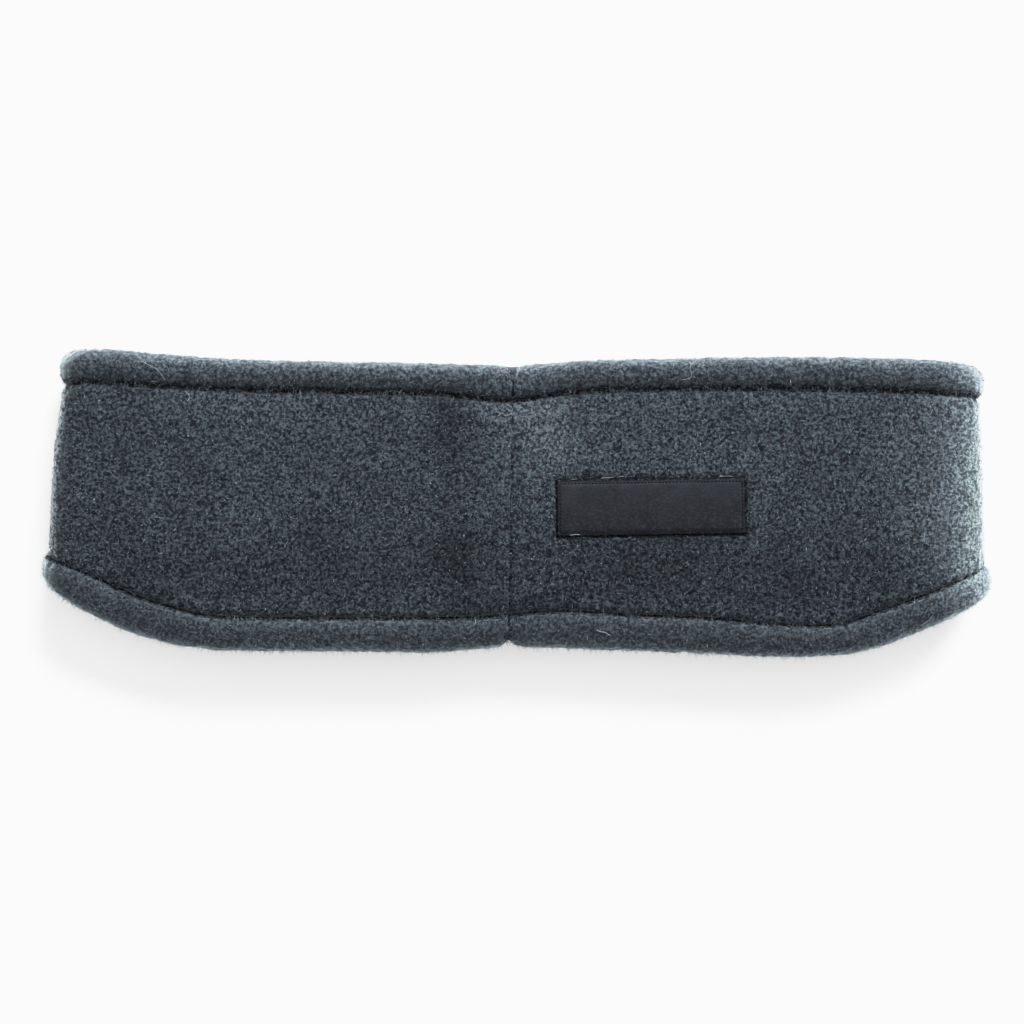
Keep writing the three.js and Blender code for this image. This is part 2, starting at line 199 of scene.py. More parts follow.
def seam_notch(at):
    """How far the seam draws each edge in: a soft dip with a sharper one in it."""
    away = from_seam(at) / SEAM_SPREAD
    return SEAM_NOTCH * (0.35 * np.exp(-(away**2)) + 0.65 * np.exp(-((1.7 * away) ** 2)))


def seam_line(at):
    """The needle line at the furrow's bottom."""
    return SEAM_CREASE * np.exp(-((from_seam(at) / SEAM_LINE_SPREAD) ** 2))


def plain_top(at):
    return BACK_HEIGHT * (0.5 - top_drop(at))


def plain_bottom(at):
    """The bottom edge without the seam's notch: the back's contour, then the forehead's straight edge."""
    back = BACK_HEIGHT * (bottom_rise(np.clip(at, -1, 1)) - 0.5)
    front = BACK_HEIGHT * (0.5 - top_drop(2.0)) - FRONT_HEIGHT
    return np.where(np.abs(at) <= 1, back, mix(back, front, front_climb(np.abs(at))))


def top_line(at):
    return plain_top(at) - HEM_DEPTH * top_width(at)


def bottom_line(at):
    share = mix(bottom_width(np.clip(at, -1, 1)), 1, np.clip((np.abs(at) - 1) * 3, 0, 1))
    return plain_bottom(at) + HEM_DEPTH * share


def top_edge(at):
    return plain_top(at) - seam_notch(at)


def bottom_edge(at):
    return plain_bottom(at) + seam_notch(at)


def lift_of(at, y):
    """How far the back stands above the folds' level."""
    window = smooth((run_length(at) - from_seam(at)) / (FOLD_RADIUS * 3))
    between = np.clip((y - bottom_line(at)) / (top_line(at) - bottom_line(at)), 0, 1)
    arch = 4 * between * (1 - between)
    over_seam = smooth((SEAM_ALLOWANCE + SEAM_SLOPE - from_seam(at)) / SEAM_SLOPE)
    front_line = bottom_line(2.0)
    hang = smooth((front_line - y) / (front_line - bottom_line(0.0)))
    rise = waves(at) * HEM_THICKNESS + CROWN * arch + SEAM_LIFT * over_seam * np.minimum(1, 3 * arch)
    return window * (rise - DROOP * hang)


def place(at, y, depth):
    """Points at places round the loop, at heights y and at depths under the fleece's outer face."""
    at, y, depth = np.broadcast_arrays(np.asarray(at, float), y, depth)
    side = np.where(at < 0, -1.0, 1.0)
    reach = np.where(at < 0, left_reach(y / BACK_HEIGHT), right_reach(y / BACK_HEIGHT))
    fold_x = side * (HALF_WIDTH * reach - FOLD_RADIUS)
    run, along = run_length(at), from_seam(at)
    turned = np.clip((along - run) / FOLD_RADIUS, 0, math.pi)
    radius = FOLD_RADIUS - depth
    past = (along - run - math.pi * FOLD_RADIUS) / run
    on_back, on_front = along <= run, past >= 0
    round_fold = fold_x + side * radius * np.sin(turned)
    off_back = np.where(on_front, mix(fold_x, SEAM_X, past), round_fold)
    x = np.where(on_back, mix(seam_x(y), fold_x, along / run), off_back)
    z = FOLD_LEVEL + radius * np.cos(turned) + np.where(on_back, lift_of(at, y), 0)
    return np.stack([x, y, z], axis=-1)


def at_of(x, y):
    """The place round the loop of a point of the back."""
    side = np.where(x < seam_x(y), -1.0, 1.0)
    reach = np.where(side < 0, left_reach(y / BACK_HEIGHT), right_reach(y / BACK_HEIGHT))
    fold_x = side * (HALF_WIDTH * reach - FOLD_RADIUS)
    return side * (x - seam_x(y)) / (fold_x - seam_x(y)) * run_length(side) / quarter_length(side)


def places_round(back_step, fold_step, front_step):
    """Places round the loop, from the seam by the right fold and the forehead to the left fold."""
    halves = []
    for side in (1, -1):
        run, quarter = float(run_length(side)), float(quarter_length(side))
        turned = run + math.pi * FOLD_RADIUS
        stops = [
            (0, SEAM_SPREAD, back_step / 2), (SEAM_SPREAD, run, back_step),
            (run, turned, fold_step), (turned, 2 * quarter, front_step),
        ]
        lengths = [np.linspace(a, b, math.ceil((b - a) / step), endpoint=False) for a, b, step in stops]
        halves.append(side * np.concatenate(lengths) / quarter)
    right, left = halves
    return np.concatenate([right, [2.0], left[:0:-1]])


def unit(vectors):
    return vectors / np.linalg.norm(vectors, axis=1)[:, None]


def lumps(points, size, seed):
    """Smooth noise from -1 to 1 at each point, in lumps of a size."""
    shift = Vector((seed * 7.31, seed * 3.17, seed * 5.77))
    return np.array([noise.noise(Vector(p) / size + shift) for p in points])


def only(piece):
    """Makes a piece the one selected and active object."""
    bpy.ops.object.select_all(action="DESELECT")
    piece.select_set(True)
    bpy.context.view_layer.objects.active = piece


def points_of(piece, what="co"):
    values = np.empty(len(piece.data.vertices) * 3, np.float32)
    piece.data.vertices.foreach_get(what, values)
    return values.reshape(-1, 3).astype(float)


def move_to(piece, points):
    piece.data.vertices.foreach_set("co", points.astype(np.float32).ravel())
    piece.data.update()


def ring_of_cloth(name, around, rows, section):
    """A closed ring of cloth. section(at, row) gives the height and depth of each row of its section."""
    bpy.ops.object.select_all(action="DESELECT")
    bpy.ops.mesh.primitive_grid_add(x_subdivisions=len(around), y_subdivisions=rows, size=1, calc_uvs=False)
    ring = bpy.context.object
    ring.name = ring.data.name = name
    flat = points_of(ring) + 0.5
    at = around[np.rint(flat[:, 0] * len(around)).astype(int) % len(around)]
    row = np.rint(flat[:, 1] * rows).astype(int) % rows
    move_to(ring, place(at, *section(at, row)))
    only(ring)
    bpy.ops.object.mode_set(mode="EDIT")
    bpy.ops.mesh.select_all(action="SELECT")
    bpy.ops.mesh.remove_doubles(threshold=0.001 * MM)
    bpy.ops.mesh.normals_make_consistent(inside=False)
    bpy.ops.object.mode_set(mode="OBJECT")
    bpy.ops.object.shade_smooth()
    return ring


LABEL_MIDDLE = (SEAM_X + LABEL_FROM_SEAM + LABEL_LENGTH / 2, -LABEL_BELOW_MIDDLE)
LABEL_SINK = 0.9 * MM
SINK_BESIDE_LABEL = 0.7 * MM
SINK_FADE = 1.2 * MM
# How much a face's normal turns up where it counts as the back's upper side
FACES_UP = 0.2
TABLE_CLEARANCE = 0.02 * MM
# The fleece's clumps, as shares of the pile's height: large ones, and small ones at a share of their size
LARGE_CLUMPS = 0.65
SMALL_CLUMPS = 0.5
SMALL_CLUMP_SIZE = 0.45


def inside_label(x, y):
    """How far inside the label's edge a point of the back lies, less than 0 outside it."""
    u = (x - LABEL_MIDDLE[0]) * math.cos(LABEL_TILT) + (y - LABEL_MIDDLE[1]) * math.sin(LABEL_TILT)
    v = (y - LABEL_MIDDLE[1]) * math.cos(LABEL_TILT) - (x - LABEL_MIDDLE[0]) * math.sin(LABEL_TILT)
    return np.minimum(LABEL_LENGTH / 2 - np.abs(u), LABEL_WIDTH / 2 - np.abs(v))


def press_under_label(piece):
    """Presses the pile down where the label is sewn over it."""
    points, normals = points_of(piece), points_of(piece, "normal")
    under = smooth((inside_label(points[:, 0], points[:, 1]) + SINK_BESIDE_LABEL) / SINK_FADE)
    outer = (normals[:, 2] > FACES_UP) & (points[:, 2] > FOLD_LEVEL)
    points[:, 2] -= LABEL_SINK * under * outer
    move_to(piece, points)


def roughen(piece, amount, clump, seed):
    """Raises a ring's pile in clumps along its normals, kept above the table."""
    points, normals = points_of(piece), points_of(piece, "normal")
    clumps = LARGE_CLUMPS * lumps(points, clump, seed)
    clumps = clumps + SMALL_CLUMPS * lumps(points, clump * SMALL_CLUMP_SIZE, seed + 1)
    points += normals * (amount * clumps)[:, None]
    points[:, 2] = np.maximum(points[:, 2], TABLE_CLEARANCE)
    move_to(piece, points)


BACK_STEP = 0.6 * MM
FOLD_STEP = 0.8 * MM
FRONT_STEP = 1.4 * MM
HEM_STEP = 0.55 * MM
FACE_ROWS = 104
EDGE_ROWS = 3
INSIDE_ROWS = 16
ROLL_ROWS = 52
TAIL_ROWS = 5
PILE_HEIGHT = 0.42 * MM
BAND_CLUMP = 1.7 * MM
HEM_CLUMP = 1.5 * MM
STITCH_PITCH = 3.2 * MM
PUCKER = 0.42 * MM
# How uneven the tucks are, and the lengths of the two waves that make them so
PUCKER_UNEVEN = 0.6
PUCKER_WAVES = (4.7 * MM, 11 * MM)
PUCKER_SPREAD = 2.16 * MM
BAND_GROOVE_SPREAD = 0.45 * MM
TOP_PILLOW = 0.3 * MM
BOTTOM_PILLOW = 0.2 * MM
PILLOW_SPREAD = 4.5 * MM
# Where the bottom groove starts to close up, over what way, and how much of its depth goes
GROOVE_CLOSES_AT = 0.84
GROOVE_CLOSES_OVER = 0.14
GROOVE_CLOSED = 0.6


def groove_fade(at):
    """How far the bottom groove has closed up, on the way to the right fold."""
    return smooth((at - GROOVE_CLOSES_AT) / GROOVE_CLOSES_OVER)


def groove(at, to_low, to_high):
    """How deep the fleece lies at distances from its stitch lines: the grooves and the slopes to them."""
    on_back = smooth((run_length(at) - from_seam(at)) / FOLD_RADIUS)
    low_groove = np.exp(-np.clip(to_low, 0, None) / BAND_GROOVE_SPREAD)
    low_groove = (1 - GROOVE_CLOSED * groove_fade(at)) * low_groove
    high_groove = np.exp(-np.clip(to_high, 0, None) / BAND_GROOVE_SPREAD)
    slopes = BOTTOM_PILLOW * np.exp(-to_low / PILLOW_SPREAD) + TOP_PILLOW * np.exp(-to_high / PILLOW_SPREAD)
    return STITCH_GROOVE * np.maximum(low_groove, high_groove) + on_back * slopes


def pucker(at, away):
    """The stitches' tucks, strongest at the stitch line and uneven from stitch to stitch."""
    way = from_seam(at)
    short_wave, long_wave = PUCKER_WAVES
    uneven = 1 + PUCKER_UNEVEN * np.sin(way / short_wave + 2 * at) * np.sin(way / long_wave)
    return PUCKER * uneven * np.cos(2 * math.pi * way / STITCH_PITCH) * np.exp(-away / PUCKER_SPREAD)


def band_section(at, row):
    """The band's rows: its pile side from the bottom line to the top, the top edge, and back down inside."""
    low, high = bottom_line(at) + FIT_GAP / 2, top_line(at) - FIT_GAP / 2
    share = np.clip(row / (FACE_ROWS - 1), 0, 1)
    eased = share - 0.5 * np.sin(2 * math.pi * share) / (2 * math.pi)
    y = mix(low, high, eased)
    to_low, to_high = y - low, high - y
    away = np.minimum(to_low, to_high)
    dip = SEAM_DIP * seam_pull(at)
    depth = groove(at, to_low, to_high) + dip + seam_line(at) + pucker(at, away)
    ply = np.where(from_seam(at) < SEAM_ALLOWANCE, SEAM_PLY - dip / 2, 0)
    back_row = row - FACE_ROWS
    edge_share = (back_row + 1) / (EDGE_ROWS + 1)
    inside = (back_row - EDGE_ROWS) / (INSIDE_ROWS - 1)
    y_inside = mix(high, low, np.clip(inside, 0, 1))
    from_edge = np.minimum(high - y_inside, y_inside - low)
    depth_inside = CLOTH + ply * smooth((from_edge - HEM_RAW_EDGE - FIT_GAP) / FIT_GAP)
    on_face, on_edge = row < FACE_ROWS, (back_row >= 0) & (back_row < EDGE_ROWS)
    y = np.where(on_face, y, np.where(on_edge, high, y_inside))
    depth = np.where(on_face, depth, np.where(on_edge, mix(STITCH_GROOVE, CLOTH, edge_share), depth_inside))
    return y, depth


# How much a hem's width wanders, and over what length
HEM_WANDER = ((0.25 * MM, 22 * MM), (0.2 * MM, 4 * MM))
# How much of the furrow and of its needle line the seam keeps in a hem
HEM_SEAM_DIP = 0.6
HEM_SEAM_LINE = 0.3
# How far out the fold between a hem's two plies reaches, and how far in its raw edge lies
PLY_FOLD = 0.72
RAW_EDGE_IN = 0.92


def hem_section(line, edge, seed):
    """A hem's rows: its roll, then the inner ply's raw edge and the fold between the plies."""
    def section(at, row):
        start, end = line(at), edge(at)
        way = np.sign(end - start)
        along = np.stack([from_seam(at), at * 0, at * 0], -1)
        width = np.abs(end - start)
        for amount, size in HEM_WANDER:
            width = width + amount * lumps(along, size, seed)
        step = np.clip(row / (ROLL_ROWS - 1), 0, 1) * HEM_ROLL[-1][0]
        out, inward = roll_out(step), roll_in(step)
        dip = HEM_SEAM_DIP * SEAM_DIP * seam_pull(at) + HEM_SEAM_LINE * seam_line(at)
        y = start + way * width * out
        away = width * out
        depth = inward * HEM_THICKNESS - HEM_PUFF + (dip + pucker(at, away)) * (1 - inward)
        tail = row - ROLL_ROWS
        tail_row = np.clip(tail, 0, TAIL_ROWS - 1)
        raw = start - way * HEM_RAW_EDGE
        tail_y = np.choose(tail_row, [raw, raw, start, start + way * width * PLY_FOLD, start])
        under, middle = CLOTH + FIT_GAP, HEM_THICKNESS / 2 - HEM_PUFF + FIT_GAP / 2
        tail_depth = np.array([HEM_INSIDE * RAW_EDGE_IN, under, under, middle, CLOTH])[tail_row]
        return np.where(tail < 0, y, tail_y), np.where(tail < 0, depth, tail_depth)

    return section


around = places_round(BACK_STEP, FOLD_STEP, FRONT_STEP)
band = ring_of_cloth("band_fleece", around, FACE_ROWS + EDGE_ROWS + INSIDE_ROWS, band_section)
roughen(band, PILE_HEIGHT, BAND_CLUMP, 1)
press_under_label(band)
around_hem = places_round(HEM_STEP, FOLD_STEP, FRONT_STEP)
hem_rows = ROLL_ROWS + TAIL_ROWS
top_hem = ring_of_cloth("top_hem_fleece", around_hem, hem_rows, hem_section(top_line, top_edge, 3))
bottom_section = hem_section(bottom_line, bottom_edge, 4)
bottom_hem = ring_of_cloth("bottom_hem_fleece", around_hem, hem_rows, bottom_section)
roughen(top_hem, PILE_HEIGHT, HEM_CLUMP, 5)
roughen(bottom_hem, PILE_HEIGHT, HEM_CLUMP, 7)


# Materials

class Wire:
    """A socket's output. Arithmetic on it adds Math nodes to its recipe."""

    def __init__(self, recipe, socket):
        self.recipe = recipe
        self.socket = socket

    def _math(self, operation, first, second):
        return self.recipe.node("ShaderNodeMath", {"operation": operation}, {0: first, 1: second})

    def __add__(self, other):
        return self._math("ADD", self, other)

    def __sub__(self, other):
        return self._math("SUBTRACT", self, other)

    def __rsub__(self, other):
        return self._math("SUBTRACT", other, self)

    def __mul__(self, other):
        return self._math("MULTIPLY", self, other)

    def __pow__(self, other):
        return self._math("POWER", self, other)

    def __abs__(self):
        return self._math("ABSOLUTE", self, 0.0)

    __radd__ = __add__
    __rmul__ = __mul__

    def between(self, low, high):
        """0 below low, 1 above high."""
        inputs = {0: self, 1: low, 2: high, 3: 0.0, 4: 1.0}
        return self.recipe.node("ShaderNodeMapRange", {"clamp": True}, inputs)


class Recipe:
    """One material: its nodes, its Principled shader and the shader's plain settings."""

    def __init__(self, name, **settings):
        self.material = bpy.data.materials.new(name)
        self.material.use_nodes = True
        self.tree = self.material.node_tree
        self.shader = self.tree.nodes["Principled BSDF"]
        for socket, value in settings.items():
            self.feed(self.shader.inputs[socket.replace("_", " ")], value)

    def feed(self, socket, value):
        if isinstance(value, Wire):
            self.tree.links.new(value.socket, socket)
        else:
            socket.default_value = value

    def node(self, kind, settings=None, inputs=None, output=0):
        made = self.tree.nodes.new(kind)
        for key, value in (settings or {}).items():
            setattr(made, key, value)
        for key, value in (inputs or {}).items():
            self.feed(made.inputs[key], value)
        return Wire(self, made.outputs[output])

    def place(self):
        return self.node("ShaderNodeTexCoord", output="Object")

    def noise(self, size, detail=2.0, rough=0.5, twist=0.0, where=None):
        inputs = {"Vector": where or self.place(), "Scale": 1 / size, "Detail": detail, "Roughness": rough,
                  "Distortion": twist}
        return self.node("ShaderNodeTexNoise", {}, inputs)

    def blend(self, share, first, second, way="MIX"):
        settings = {"data_type": "RGBA", "blend_type": way}
        return self.node("ShaderNodeMix", settings, {0: share, 6: first, 7: second}, 2)

    def bump(self, height, distance, strength):
        inputs = {"Height": height, "Distance": distance, "Strength": strength}
        self.feed(self.shader.inputs["Normal"], self.node("ShaderNodeBump", {}, inputs))

    def colour(self, value):
        self.feed(self.shader.inputs["Base Color"], value)


FLEECE_DARK = (0.0008, 0.0009, 0.002, 1)
FLEECE_MID = (0.0078, 0.0095, 0.0122, 1)
FLEECE_PALE = (0.062, 0.079, 0.089, 1)
FLEECE_SHEEN = (0.785, 0.925, 0.98, 1)


def fleece_material(name, sheen, spread, light, relief, specks):
    """Brushed pile: dark gaps, mid clumps and pale curled ends, with soft patches of painted light and shade,
    partly where the nap lies over, and light, a painted brightness for each finish.
    """
    made = Recipe(name, Roughness=0.95, Specular_IOR_Level=0.05, Sheen_Weight=sheen, Sheen_Roughness=spread,
                  Sheen_Tint=FLEECE_SHEEN)
    clumps = made.noise(1.9 * MM, rough=0.55, twist=0.8)
    pile = made.noise(0.85 * MM, detail=3.0, twist=0.5)
    curl = made.noise(1.3 * MM, rough=0.6, twist=2.6)
    curls = (1 - abs(curl * 2 - 1)) ** 8
    nap = made.noise(14 * MM, twist=0.3)
    # The nap attribute holds painted light and shade, partly the nap's tone. Where it is bright, fluffed fills
    # the dark gaps and the blue drops, as part of the painted light.
    painted_light_and_nap = made.node("ShaderNodeAttribute", {"attribute_name": "nap"}, output=2)
    body = (clumps * 0.35 + pile * 0.65).between(0.35, 0.63)
    fluffed = painted_light_and_nap.between(1.1, 2.3) * 0.25
    fibre = made.blend(body * (1 - fluffed) + fluffed, FLEECE_DARK, FLEECE_MID)
    tips = curls * pile.between(0.44, 0.6) * specks
    fibre = made.blend(tips * (1 - fluffed * 0.5), fibre, FLEECE_PALE)
    tone = (nap.between(0.3, 0.7) * 0.3 + 0.85) * painted_light_and_nap * light
    less_blue = tone * (1.03 - painted_light_and_nap * 0.03)
    shade = made.node("ShaderNodeCombineXYZ", {}, {0: tone, 1: tone, 2: less_blue})
    made.colour(made.blend(1.0, fibre, shade, "MULTIPLY"))
    made.bump(body * 0.7 + curls * 0.6, 0.5 * MM, relief)
    return made.material


def fibre_material(name, colour):
    made = Recipe(name, Base_Color=colour, Roughness=0.85, Specular_IOR_Level=0.1)
    return made.material


SATIN_TONES = ((0.0056, 0.0064, 0.0081, 1), (0.0126, 0.0142, 0.0174, 1))
# The label edge's dark tone and the pale tone of its painted glints
LABEL_EDGE_TONES = ((0.0004, 0.0005, 0.0008, 1), (0.012, 0.014, 0.017, 1))


def label_material():
    """Black satin weave: fine floats across the label, slightly uneven, with painted light that grows towards
    its upper edge and painted glints along its edge.
    """
    made = Recipe("label_satin", Roughness=0.62, Specular_IOR_Level=0.03)
    stretch = made.node("ShaderNodeMapping", {"vector_type": "POINT"}, {0: made.place(), 3: (0.35, 1.0, 1.0)})
    floats = made.noise(0.3 * MM, detail=1.0, where=stretch)
    patches = made.noise(5 * MM)
    # The border attribute holds the label's edge and its painted light, lighter towards the upper edge
    border = made.node("ShaderNodeAttribute", {"attribute_name": "border"}, output=2)
    painted_edge_glints = made.noise(0.9 * MM, rough=0.6)
    satin = made.blend(floats.between(0.35, 0.7) * 0.6 + patches.between(0.3, 0.7) * 0.4, *SATIN_TONES)
    edge = made.blend(painted_edge_glints.between(0.52, 0.66), *LABEL_EDGE_TONES)
    made.colour(made.blend(border, edge, satin))
    made.bump(floats, 0.12 * MM, 0.5)
    return made.material


# Soft patches of painted light and shade, partly where the nap lies lighter or darker: the middle in
# millimetres, the reach each way, the tone
NAP_AND_PAINTED_LIGHT_PATCHES = (
    ("over the seam", 7, 18, 13, 16, 0.62), ("left of the seam", -19, 23, 9, 11, -0.5),
    ("low left of the seam", -18, -16, 10, 12, -0.4), ("above the label", 40, 15, 22, 8, 0.2),
    ("below the label", 40, -18, 29, 11, -0.3), ("right end", 129, 8, 16, 42, 1.05),
    ("right fold", 133, 0, 8, 46, 4.3), ("low right", 92, -25, 22, 9, -0.2),
    ("along the bottom hem", 0, -32, 150, 7, 0.2), ("upper left", -68, 26, 15, 6, 0.15),
)
# How far the pressed pile reaches from a stitch line, into the band and into the hem, at least and at most
PRESSED_IN = (0, 0.5 * MM)
PRESSED_OUT = (0.4 * MM, 1.5 * MM)
PRESSED_AT_SEAM = 0.1 * MM
PRESSED_AT_HEM_SEAM = 0.32 * MM
# How far it wanders, over what length, and how far out in a hem the seam still presses it
PRESSED_WANDER = 0.35 * MM
PRESSED_WANDER_SIZE = 1.6 * MM
SEAM_PRESSES_HEM = 0.6 * HEM_DEPTH
BOTTOM_PRESSED = 1.5
FLAT_AT_SEAM = (0.5 * MM, 3 * MM)
# Painted light: how much paler the band's pile is under the top hem, and how far down
UNDER_HEM_PAINTED_LIGHT = 0.25
UNDER_HEM_REACH = 4 * MM
# How far the cloth is turned where the pile at a fold starts to fluff, over what turn it grows, and how much of
# that the left fold has
TURN_STARTS = 0.35
TURN_GROWS = 0.6
LEFT_FLUFF = 0.75
FACES_INSIDE = -0.2
# How far out, as a share of the hem's width, the roll starts to open its pile and its painted highlight to grow
HEM_OPENS = 0.6
# Painted light and shade on a hem's pile, partly its opened pale ends: how much paler it is over the whole hem,
# more on its outer part that the roll opens, as a painted highlight, and more beside the stitch line, up to a
# share of the hem's width.
# The top hem is paler, and darker beside its line as painted shade; the bottom hem is darker, and paler beside
# its line.
TOP_HEM_PAINTED_LIGHT = (0.38, 1.2, -0.6, 0.6)
BOTTOM_HEM_PAINTED_LIGHT = (-0.28, 1.55, 0.3, 0.4)


# The tone of the painted light and shade patches at each point, partly the nap's
def nap_and_painted_light_of(points):
    tone = np.ones(len(points))
    for _, x, y, reach_x, reach_y, change in NAP_AND_PAINTED_LIGHT_PATCHES:
        far = ((points[:, 0] / MM - x) / reach_x) ** 2 + ((points[:, 1] / MM - y) / reach_y) ** 2
        tone += change * np.exp(-far)
    return tone


# Painted light and shade on a hem: paler over its opened outer part, and darker or paler beside its stitch line
def hem_painted_light(points, line, edge, painted_tones):
    at = np.clip(at_of(points[:, 0], points[:, 1]), -1, 1)
    out = (points[:, 1] - line(at)) / (edge(at) - line(at))
    whole, opened, beside_line, reach = painted_tones
    outer = smooth((out - HEM_OPENS) / (1 - HEM_OPENS))
    return whole + opened * outer + beside_line * smooth(1 - out / reach)


def painted_light_under_top_hem(points):
    """Painted light: the paler tone of the band's pile just under the top hem."""
    at = np.clip(at_of(points[:, 0], points[:, 1]), -1, 1)
    return UNDER_HEM_PAINTED_LIGHT * np.exp(-np.clip(top_line(at) - points[:, 1], 0, None) / UNDER_HEM_REACH)


FLAT, FLUFFED, PRESSED_AND_SHADED = range(3)


def finish_fleece(piece, usual, more):
    """The pile's tone at each point, painted light and shade with the nap's, and the finish of each face:
    pressed pile in the stitch grooves and in the seam, painted darker there as shade, flat pile beside them and
    inside the loop, fluffed pile where the band turns over a fold."""
    for material in FLEECES:
        piece.data.materials.append(material)
    points = points_of(piece)
    tone = nap_and_painted_light_of(points) + more(points)
    piece.data.attributes.new("nap", "FLOAT", "POINT").data.foreach_set("value", tone.astype(np.float32))
    middles, normals = np.empty((2, len(piece.data.polygons) * 3), np.float32)
    piece.data.polygons.foreach_get("center", middles)
    piece.data.polygons.foreach_get("normal", normals)
    middles, normals = middles.reshape(-1, 3).astype(float), normals.reshape(-1, 3)
    x, y = middles[:, 0], middles[:, 1]
    at = np.clip(at_of(x, y), -1, 1)
    past_fold = np.clip(np.abs(x) - HALF_WIDTH * left_reach(0.0) + FOLD_RADIUS, 0, None)
    outward = unit(np.stack([np.sign(x) * past_fold, 0 * x, middles[:, 2] - FOLD_LEVEL], -1))
    chance = np.random.default_rng(42).random(len(x))
    finish = np.full(len(x), usual, np.int32)
    turned = smooth((np.abs(normals[:, 0]) - TURN_STARTS) / TURN_GROWS)
    finish[(past_fold > 0) & (chance < turned * np.where(x < 0, LEFT_FLUFF, 1))] = FLUFFED
    finish[np.sum(normals * outward, axis=1) < FACES_INSIDE] = FLAT
    uneven = PRESSED_WANDER * lumps(middles, PRESSED_WANDER_SIZE, 41)
    below = np.where(chance < groove_fade(at), -HEM_DEPTH, (bottom_line(at) - y) * BOTTOM_PRESSED)
    past_line = np.maximum(y - top_line(at), below)
    finish[(from_seam(at) < mix(*FLAT_AT_SEAM, chance)) & (past_line > 0)] = FLAT
    finish[(past_line > -PRESSED_IN[1]) & (past_line < PRESSED_OUT[1] + uneven)] = FLAT
    in_groove = past_line > uneven - mix(*PRESSED_IN, chance)
    in_groove &= past_line < mix(*PRESSED_OUT, chance) + uneven
    at_seam = np.where(past_line > 0, PRESSED_AT_HEM_SEAM, PRESSED_AT_SEAM)
    in_groove |= (from_seam(at) < at_seam + uneven) & (past_line < SEAM_PRESSES_HEM)
    finish[in_groove & (middles[:, 2] > FOLD_LEVEL)] = PRESSED_AND_SHADED
    piece.data.polygons.foreach_set("material_index", finish)


FLEECES = (
    fleece_material("fleece_flat", sheen=0.18, spread=0.4, light=1.36, relief=0.36, specks=0.46),
    fleece_material("fleece_fluffed", sheen=1.0, spread=0.38, light=1.3, relief=0.28, specks=0.4),
    # The pressed finish's low light is painted shade in the stitch grooves and the seam's furrow
    fleece_material("fleece_pressed_shaded", sheen=0.03, spread=0.4, light=0.5, relief=0.3, specks=0.3),
)
finish_fleece(band, FLAT, painted_light_under_top_hem)
for hem, line, edge, painted_tones in ((top_hem, top_line, plain_top, TOP_HEM_PAINTED_LIGHT),
                               (bottom_hem, bottom_line, plain_bottom, BOTTOM_HEM_PAINTED_LIGHT)):
    finish_fleece(hem, FLUFFED, lambda points: hem_painted_light(points, line, edge, painted_tones))
PILE_SHADES = (
    fibre_material("fibre_dark", (0.0035, 0.0042, 0.006, 1)),
    fibre_material("fibre_mid", (0.02, 0.024, 0.03, 1)),
    fibre_material("fibre_pale", (0.1, 0.12, 0.138, 1)),
    # The fuzz shade is a painted highlight for lit fuzz tips
    fibre_material("fibre_fuzz_painted_highlight", (0.2, 0.24, 0.27, 1)),
)


# Pile fibres, threads and lint

def template_of(made):
    """A primitive's points and triangles, to be copied many times. The primitive itself goes."""
    bpy.ops.object.transform_apply(location=True, rotation=True, scale=True)
    points = points_of(made)
    made.data.calc_loop_triangles()
    faces = np.array([t.vertices[:] for t in made.data.loop_triangles])
    bpy.data.objects.remove(made)
    return points, faces


def joined_copies(name, template, origins, axes, sizes, materials, chosen=None):
    """Copies of a template in one mesh. axes and sizes hold each copy's three directions and its sizes."""
    points, faces = template
    count = len(origins)
    placed = sum(points[None, :, k, None] * (axes[k] * sizes[k][:, None])[:, None, :] for k in range(3))
    placed = (placed + origins[:, None, :]).reshape(-1, 3)
    placed[:, 2] = np.maximum(placed[:, 2], TABLE_CLEARANCE / 2)
    triangles = (faces[None] + len(points) * np.arange(count)[:, None, None]).reshape(-1, 3)
    mesh = bpy.data.meshes.new(name)
    mesh.from_pydata(placed, [], triangles)
    for material in materials:
        mesh.materials.append(material)
    if chosen is not None:
        mesh.polygons.foreach_set("material_index", np.repeat(chosen, len(faces)).astype(np.int32))
    made = bpy.data.objects.new(name, mesh)
    bpy.context.scene.collection.objects.link(made)
    return made


def scattered(piece, count, keep, random):
    """Random points of a piece's surface where keep says so, with the surface's normals there."""
    mesh = piece.data
    mesh.calc_loop_triangles()
    corners = np.empty(len(mesh.loop_triangles) * 3, np.int32)
    mesh.loop_triangles.foreach_get("vertices", corners)
    corners = corners.reshape(-1, 3)
    points, normals = points_of(piece), points_of(piece, "normal")
    a, b, c = (points[corners[:, k]] for k in range(3))
    area = np.linalg.norm(np.cross(b - a, c - a), axis=1) * keep((a + b + c) / 3, normals[corners].mean(1))
    chosen = random.choice(len(area), count, p=area / area.sum())
    u, v = random.random((2, count))
    flip = u + v > 1
    u, v = np.where(flip, 1 - u, u), np.where(flip, 1 - v, v)
    a, b, c = (points[corners[chosen, k]] for k in range(3))
    return a + u[:, None] * (b - a) + v[:, None] * (c - a), unit(normals[corners[chosen]].mean(1))


bpy.ops.object.select_all(action="DESELECT")
bpy.ops.mesh.primitive_cone_add(vertices=3, radius1=0.5, radius2=0, depth=1, location=(0, 0, 0.5))
FIBRE = template_of(bpy.context.object)


FIBRE_ROOT = 0.12 * MM


